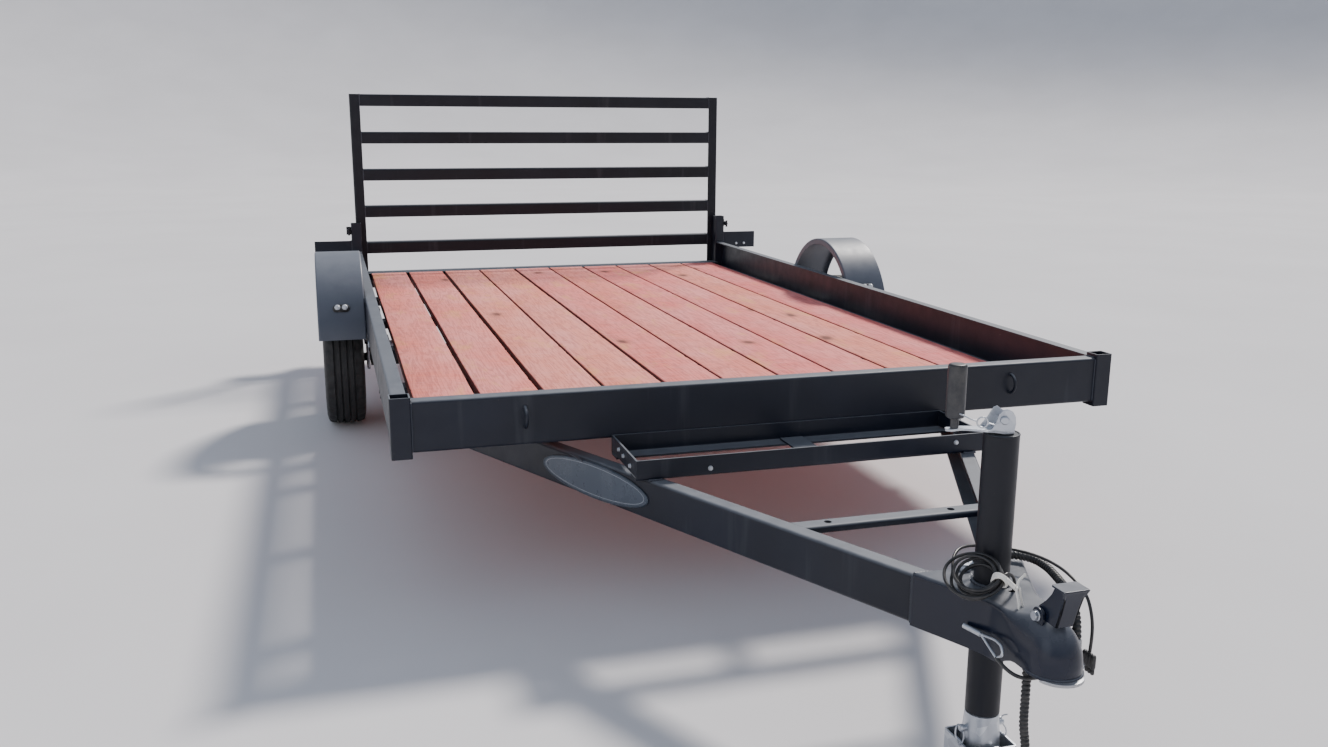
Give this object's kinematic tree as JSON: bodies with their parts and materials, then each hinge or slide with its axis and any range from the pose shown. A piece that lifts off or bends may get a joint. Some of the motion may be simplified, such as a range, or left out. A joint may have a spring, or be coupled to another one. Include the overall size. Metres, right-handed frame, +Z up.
{
  "type": "utility trailer",
  "caption": "Single-axle utility trailer: board deck in a folded-rail bed, fold-down rear gate, A-frame tongue with tray, jack and ball coupler.",
  "frame": {"origin": "on the floor under the middle of the whole trailer", "axes": "+Y from the coupler to the gate, +Z up, +X to the trailer's right as seen from the coupler"},
  "size_m": [1.9, 3.728, 1.069],
  "materials": {
    "frame_paint": "semi-gloss",
    "fender_paint": "semi-gloss",
    "coupler_paint": "semi-gloss",
    "rim_paint": "semi-gloss",
    "deck_wood": "rough sawn, stained",
    "zinc": "zinc plated",
    "bare_steel": "satin",
    "spring_steel": "satin",
    "tyre_rubber": "matt",
    "black_plastic": "matt",
    "tail_lens": "gloss",
    "marker_lens": "gloss",
    "sign_blank": "satin",
    "cord_black": "satin"
  },
  "bodies": {
    "chassis": {"axle_beam": "frame_paint", "axle_u_bolts": "zinc", "blank_sign": "sign_blank", "corner_post_front_left": "frame_paint", "corner_post_front_right": "frame_paint", "corner_post_rear_left": "frame_paint", "corner_post_rear_right": "frame_paint", "coupler_housing": "coupler_paint", "coupler_latch": "coupler_paint", "deck_boards": "deck_wood", "fender_left": "fender_paint", "fender_right": "fender_paint", "floor_crossmembers": "frame_paint", "front_rail": "frame_paint", "gate_hinge_pins": "zinc", "gate_latches": "zinc", "jack_crank_arm": "zinc", "jack_crank_grip": "black_plastic", "jack_tube": "frame_paint", "leaf_spring_left": "spring_steel", "leaf_spring_right": "spring_steel", "marker_lamps": "marker_lens", "rear_sill": "frame_paint", "safety_cable_anchor": "zinc", "safety_cable_left": "cord_black", "safety_cable_right": "cord_black", "safety_hook_left": "zinc", "safety_hook_right": "zinc", "safety_tail_right": "cord_black", "side_rail_left": "frame_paint", "side_rail_right": "frame_paint", "sill_hinge_straps": "frame_paint", "spring_bolts": "zinc", "spring_hangers": "frame_paint", "spring_tie_plates": "zinc", "tail_lamp_brackets": "fender_paint", "tail_lamps": "tail_lens", "tie_down_loops": "frame_paint", "tongue_beam_left": "frame_paint", "tongue_beam_right": "frame_paint", "tongue_tie": "frame_paint", "tray_back_angle": "frame_paint", "tray_front_frame": "frame_paint", "tray_strap": "frame_paint", "wiring_coil": "cord_black", "wiring_feed": "cord_black", "wiring_lead": "cord_black", "wiring_plug": "black_plastic"},
    "left_wheel": {"tyre_left": "tyre_rubber", "wheel_left": "rim_paint", "hub_left": "bare_steel"},
    "right_wheel": {"tyre_right": "tyre_rubber", "wheel_right": "rim_paint", "hub_right": "bare_steel"},
    "tailgate": {"gate_bars": "frame_paint", "gate_hinge_straps": "frame_paint", "gate_keepers": "frame_paint", "gate_uprights": "frame_paint"},
    "jack_inner": {"jack_leg": "zinc", "jack_foot": "zinc"}
  },
  "joints": [
    {"name": "left_wheel_spin", "type": "hinge", "parent": "chassis", "child": "left_wheel", "pos_m": [-0.87, 0.733, 0.21], "axis": [1, 0, 0], "continuous": true},
    {"name": "right_wheel_spin", "type": "hinge", "parent": "chassis", "child": "right_wheel", "pos_m": [0.87, 0.733, 0.21], "axis": [1, 0, 0], "continuous": true},
    {"name": "tailgate_fold", "type": "hinge", "parent": "chassis", "child": "tailgate", "pos_m": [0, 1.8243, 0.285], "axis": [-1, 0, 0], "range_deg": [0, 108]},
    {"name": "jack_slide", "type": "slide", "parent": "chassis", "child": "jack_inner", "axis": [0, 0, -1], "range_m": [0, 0.25]}
  ]
}
